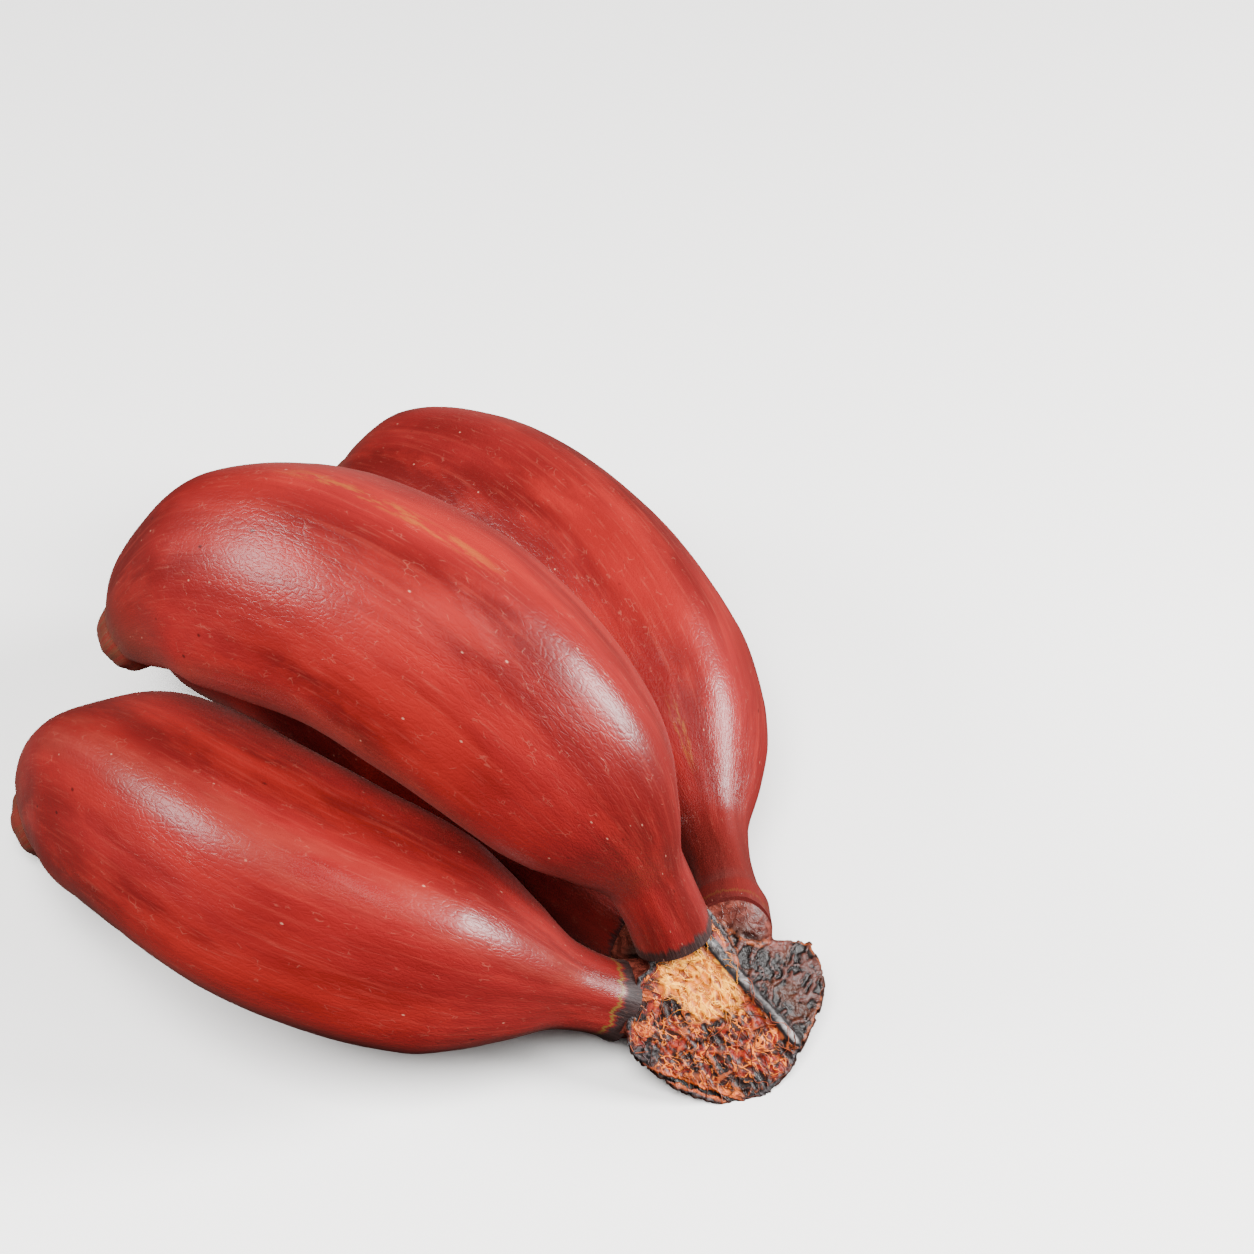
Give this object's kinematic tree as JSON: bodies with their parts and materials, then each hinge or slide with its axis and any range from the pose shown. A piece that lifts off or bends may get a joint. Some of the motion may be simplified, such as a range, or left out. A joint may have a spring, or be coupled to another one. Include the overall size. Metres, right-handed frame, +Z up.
{
  "type": "red banana hand",
  "caption": "Hand of plump, curved red bananas joined at one cut, dried crown, lying on a flat surface with the blossom ends spread apart.",
  "frame": {"origin": "middle of the hand's bounding box, on the surface that it lies on", "axes": "+Z up from the surface; the cut crown lies towards +X and -Y, and the blossom ends towards -X and +Y"},
  "size_m": [0.1421, 0.1636, 0.0912],
  "materials": {
    "skin_front": "satin waxy fruit skin, deep red with fine lengthwise streaks",
    "skin_top": "satin waxy fruit skin, red with an ochre line along the back",
    "skin_back": "satin waxy fruit skin, deep red",
    "skin_inner": "satin waxy fruit skin, maroon",
    "stalk": "rough dried stalk, orange fibres on the cut face and dark brown around it"
  },
  "bodies": {
    "root": {"banana_front": "skin_front", "banana_top": "skin_top", "banana_back": "skin_back", "banana_inner": "skin_inner", "crown": "stalk"}
  },
  "joints": []
}
